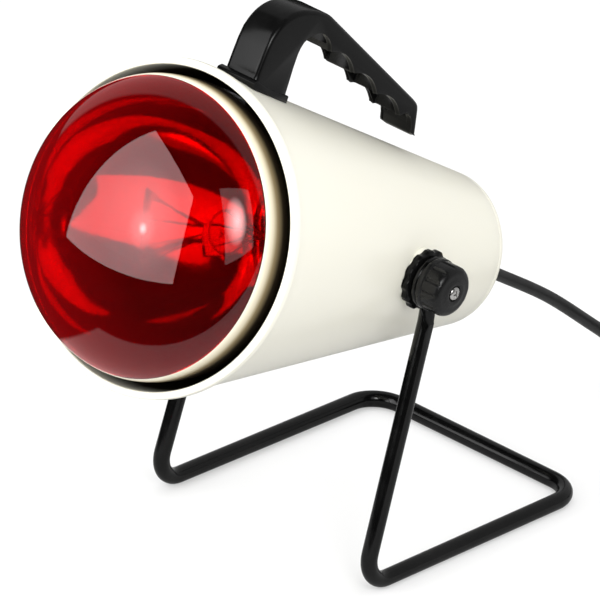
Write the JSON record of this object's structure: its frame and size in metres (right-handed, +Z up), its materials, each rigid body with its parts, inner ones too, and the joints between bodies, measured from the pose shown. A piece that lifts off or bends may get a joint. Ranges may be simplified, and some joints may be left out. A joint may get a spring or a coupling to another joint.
{
  "type": "infrared heat therapy lamp",
  "caption": "Infrared heat lamp: red reflector bulb in a tapered ivory housing with a black scalloped handle, tilting in a bent wire stand between clamp knobs.",
  "frame": {"origin": "on the floor, under the centre of the lamp's bounding box measured without its cord", "axes": "+Z up, the lamp faces -Y and the pivot axis lies along X"},
  "size_m": [0.1716, 0.4647, 0.2508],
  "materials": {
    "ivory_plastic": "satin",
    "black_plastic": "satin",
    "black_wire": "gloss",
    "red_glass": "polished",
    "mirror_glass": "polished",
    "clear_glass": "polished",
    "black_glass": "polished",
    "cap_metal": "satin",
    "contact_brass": "satin",
    "filament_metal": "satin",
    "zinc_steel": "satin",
    "bright_screw": "polished",
    "white_ceramic": "satin",
    "black_cord": "satin",
    "black_rubber": "matte",
    "brown_lead": "satin",
    "blue_lead": "satin",
    "pin_metal": "polished"
  },
  "bodies": {
    "stand": {"wire_stand": "black_wire", "cord_stretch": "black_cord", "cord_coil": "black_cord", "plug_relief": "black_rubber", "plug_body": "black_rubber", "plug_pins": "pin_metal"},
    "knob_left": {"knob_left": "black_plastic", "knob_screw_left": "bright_screw"},
    "knob_right": {"knob_right": "black_plastic", "knob_screw_right": "bright_screw"},
    "head": {"housing_shell": "ivory_plastic", "rear_cover": "ivory_plastic", "cover_screws": "zinc_steel", "lampholder_bracket": "zinc_steel", "bracket_screws": "zinc_steel", "lampholder_body": "white_ceramic", "lampholder_sleeve": "cap_metal", "lampholder_contact": "contact_brass", "bulb_front_glass": "red_glass", "bulb_reflector": "mirror_glass", "bulb_cap": "cap_metal", "bulb_cap_insulator": "black_glass", "bulb_cap_contact": "cap_metal", "bulb_stem": "clear_glass", "filament_leads": "filament_metal", "filament": "filament_metal", "handle": "black_plastic", "handle_plate": "zinc_steel", "handle_screws": "zinc_steel", "friction_disc_left": "black_plastic", "friction_disc_right": "black_plastic", "pivot_washer_left": "zinc_steel", "pivot_washer_right": "zinc_steel", "lock_nut_left": "zinc_steel", "lock_nut_right": "zinc_steel", "cord_gland": "black_rubber", "cord_clamp": "white_ceramic", "cord_inner": "black_cord", "lead_live": "brown_lead", "lead_neutral": "blue_lead"}
  },
  "joints": [
    {"name": "head_tilt", "type": "hinge", "parent": "stand", "child": "head", "pos_m": [0, 0.02215, 0.1323], "axis": [-1, 0, 0], "range_deg": [-55, 70]},
    {"name": "knob_turn_left", "type": "hinge", "parent": "head", "child": "knob_left", "pos_m": [-0.06, 0.02215, 0.1323], "axis": [-1, 0, 0], "range_deg": [0, 360]},
    {"name": "knob_turn_right", "type": "hinge", "parent": "head", "child": "knob_right", "pos_m": [0.06, 0.02215, 0.1323], "axis": [1, 0, 0], "range_deg": [0, 360]}
  ]
}
